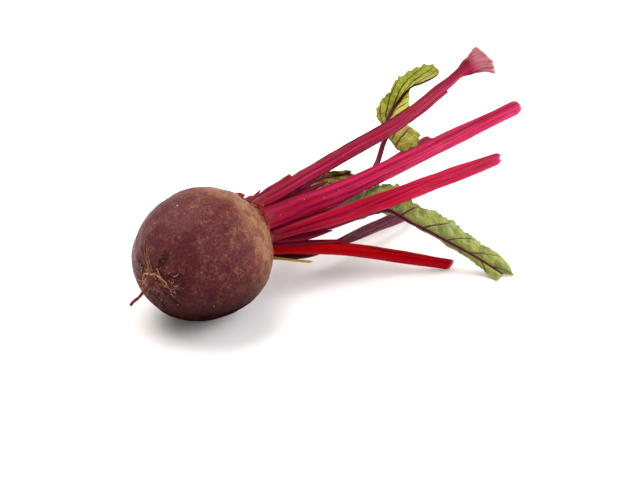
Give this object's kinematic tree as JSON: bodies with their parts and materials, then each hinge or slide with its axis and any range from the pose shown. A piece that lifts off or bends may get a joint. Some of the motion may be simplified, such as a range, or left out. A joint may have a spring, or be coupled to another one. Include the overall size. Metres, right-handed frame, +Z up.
{
  "type": "beetroot",
  "caption": "Beetroot as picked, lying on its side: a round root with its tail, ribbed leaf stems cut short and a few young leaves.",
  "frame": {"origin": "bottom centre of the bounding box, on the surface the beetroot lies on", "axes": "+X along the root from its tail to its stems; +Z up; +Y to the left seen from the tail"},
  "size_m": [0.2816, 0.1648, 0.0891],
  "materials": {
    "root_skin": "matte",
    "stem": "satin",
    "leaf": "satin",
    "torn_remnant": "matte",
    "dried_stalk": "matte"
  },
  "bodies": {
    "root": {"beet_root": "root_skin", "flared_stem": "stem", "long_stem": "stem", "notched_stem": "stem", "slim_stem": "stem", "dark_stem": "stem", "low_stem": "stem", "far_stem": "stem", "back_stem": "stem", "withered_stalk": "dried_stalk", "curled_leaf": "leaf", "drooping_leaf": "leaf", "heart_leaf": "leaf", "torn_stub_1": "torn_remnant", "torn_stub_2": "torn_remnant", "torn_stub_3": "torn_remnant", "torn_stub_4": "torn_remnant", "torn_stub_5": "torn_remnant", "torn_stub_6": "torn_remnant"}
  },
  "joints": []
}
